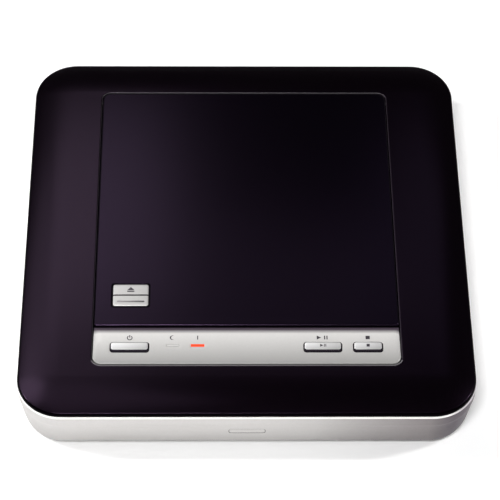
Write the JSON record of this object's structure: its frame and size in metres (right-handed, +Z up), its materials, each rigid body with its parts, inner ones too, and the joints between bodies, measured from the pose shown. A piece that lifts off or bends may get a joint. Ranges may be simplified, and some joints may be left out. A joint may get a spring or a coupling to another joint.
{
  "type": "disc player",
  "caption": "Compact top-loading disc player with a silver lower shell, a black cover with a hinged flush lid over the disc tray, and a silver strip of keys.",
  "frame": {"origin": "centre of the footprint, on the surface the player stands on", "axes": "+X to the player's right seen from the front, +Y towards the back, +Z up; the front faces -Y"},
  "size_m": [0.25, 0.248, 0.0401],
  "materials": {
    "shell_silver": "moulded plastic in warm silver satin paint",
    "cover_black": "purple-black satin moulding",
    "lid_black": "purple-black satin moulding, slightly smoother than the cover",
    "strip_silver": "warm silver satin paint",
    "key_silver": "bright silver satin paint",
    "window_silver": "tinted infrared window",
    "lens_frosted": "frosted light pipe, unlit",
    "lens_red": "red-orange light pipe, lit",
    "tray_black": "fine textured black moulding",
    "component_black": "black engineering plastic",
    "connector_black": "black connector plastic",
    "sled_black": "glass-filled black moulding",
    "rubber_black": "soft black rubber",
    "screw_zinc": "zinc plated",
    "rod_steel": "polished steel",
    "frame_steel": "pressed galvanised steel",
    "motor_steel": "drawn steel can",
    "heat_sink_aluminium": "extruded, bare",
    "contact_brass": "bare brass",
    "contact_nickel": "nickel plated",
    "acetal_white": "natural acetal",
    "board_green": "green solder mask",
    "board_tan": "bare paper laminate",
    "led_white": "moulded package",
    "transformer_yellow": "ferrite with yellow tape",
    "capacitor_sleeve": "dark blue shrink sleeve",
    "wire_brown": "insulated wire",
    "ribbon_white": "flat flexible cable",
    "ring_yellow": "yellow socket plastic",
    "ring_white": "white socket plastic",
    "ring_red": "red socket plastic",
    "lens_glass": "coated lens"
  },
  "bodies": {
    "chassis": {"base_housing": "shell_silver", "top_cover": "cover_black", "rear_panel": "connector_black", "rubber_feet": "rubber_black", "housing_screws": "screw_zinc", "ir_window": "window_silver", "disc_tray": "tray_black", "tray_screws": "screw_zinc", "control_strip": "strip_silver", "key_board": "board_green", "key_switches": "component_black", "indicator_leds": "led_white", "standby_led_lens": "lens_frosted", "on_led_lens": "lens_red", "main_board": "board_green", "board_components": "component_black", "heat_sink": "heat_sink_aluminium", "power_board": "board_tan", "transformer": "transformer_yellow", "power_capacitors": "capacitor_sleeve", "mains_inlet": "connector_black", "inlet_pins": "contact_brass", "inlet_wires": "wire_brown", "av_jack_block": "connector_black", "av_jack_barrels": "contact_nickel", "jack_ring_yellow": "ring_yellow", "jack_ring_white": "ring_white", "jack_ring_red": "ring_red", "flex_cable": "ribbon_white", "traverse_frame": "frame_steel", "isolation_grommets": "rubber_black", "traverse_screws": "screw_zinc", "guide_rods": "rod_steel", "spindle_motor": "motor_steel", "sled_motor": "motor_steel", "lid_damper": "acetal_white"},
    "lid": {"lid_panel": "lid_black", "lid_liner": "tray_black", "lid_screws": "screw_zinc", "hinge_pins": "rod_steel", "lid_bumpers": "rubber_black", "lid_gear_sector": "acetal_white", "latch_housing": "tray_black", "latch_pin": "rod_steel"},
    "open_button": {"open_key": "key_silver", "open_key_spring": "rod_steel"},
    "latch": {"latch_lever": "acetal_white"},
    "damper_wheel": {"damper_pinion": "component_black"},
    "power_button": {"power_key": "key_silver"},
    "play_button": {"play_key": "key_silver"},
    "stop_button": {"stop_key": "key_silver"},
    "spindle": {"turntable": "component_black", "hub_balls": "rod_steel", "spindle_shaft": "rod_steel"},
    "sled": {"pickup_sled": "sled_black", "actuator_cover": "frame_steel"},
    "lens": {"lens_holder": "component_black", "objective_lens": "lens_glass"},
    "screw": {"lead_screw": "rod_steel"}
  },
  "joints": [
    {"name": "lid_hinge", "type": "hinge", "parent": "chassis", "child": "lid", "pos_m": [0, 0.0919, 0.038], "axis": [-1, 0, 0], "range_deg": [0, 75]},
    {"name": "damper_turn", "type": "hinge", "parent": "chassis", "child": "damper_wheel", "pos_m": [0.042, 0.08643, 0.02296], "axis": [1, 0, 0], "range_deg": [0, 226]},
    {"name": "open_key_press", "type": "slide", "parent": "lid", "child": "open_button", "axis": [0, 0, -1], "range_m": [0, 0.0015], "stiffness_N_per_m": 500, "springref_m": -0.002, "deforming": ["open_key_spring"]},
    {"name": "latch_turn", "type": "hinge", "parent": "lid", "child": "latch", "pos_m": [-0.0641, -0.057, 0.0336], "axis": [1, 0, 0], "range_deg": [-14, 0]},
    {"name": "power_key_press", "type": "slide", "parent": "chassis", "child": "power_button", "axis": [0, 0, -1], "range_m": [0, 0.0006], "stiffness_N_per_m": 1500, "springref_m": -0.001},
    {"name": "play_key_press", "type": "slide", "parent": "chassis", "child": "play_button", "axis": [0, 0, -1], "range_m": [0, 0.0006], "stiffness_N_per_m": 1500, "springref_m": -0.001},
    {"name": "stop_key_press", "type": "slide", "parent": "chassis", "child": "stop_button", "axis": [0, 0, -1], "range_m": [0, 0.0006], "stiffness_N_per_m": 1500, "springref_m": -0.001},
    {"name": "spindle_spin", "type": "hinge", "parent": "chassis", "child": "spindle", "pos_m": [0, 0.0155, 0.0285], "axis": [0, 0, 1], "continuous": true},
    {"name": "sled_slide", "type": "slide", "parent": "chassis", "child": "sled", "axis": [1, 0, 0], "range_m": [0, 0.034]},
    {"name": "lead_screw_turn", "type": "hinge", "parent": "chassis", "child": "screw", "pos_m": [0.045, -0.0165, 0.019], "axis": [1, 0, 0], "continuous": true},
    {"name": "lens_focus", "type": "slide", "parent": "sled", "child": "lens", "axis": [0, 0, 1], "range_m": [-0.0004, 0.0004], "stiffness_N_per_m": 40}
  ],
  "couplings": [
    {"joint": "damper_turn", "follows": "lid_hinge", "ratio": 3},
    {"joint": "latch_turn", "follows": "open_key_press", "rad_per_m": -160},
    {"joint": "lead_screw_turn", "follows": "sled_slide", "rad_per_m": 1047.2}
  ]
}
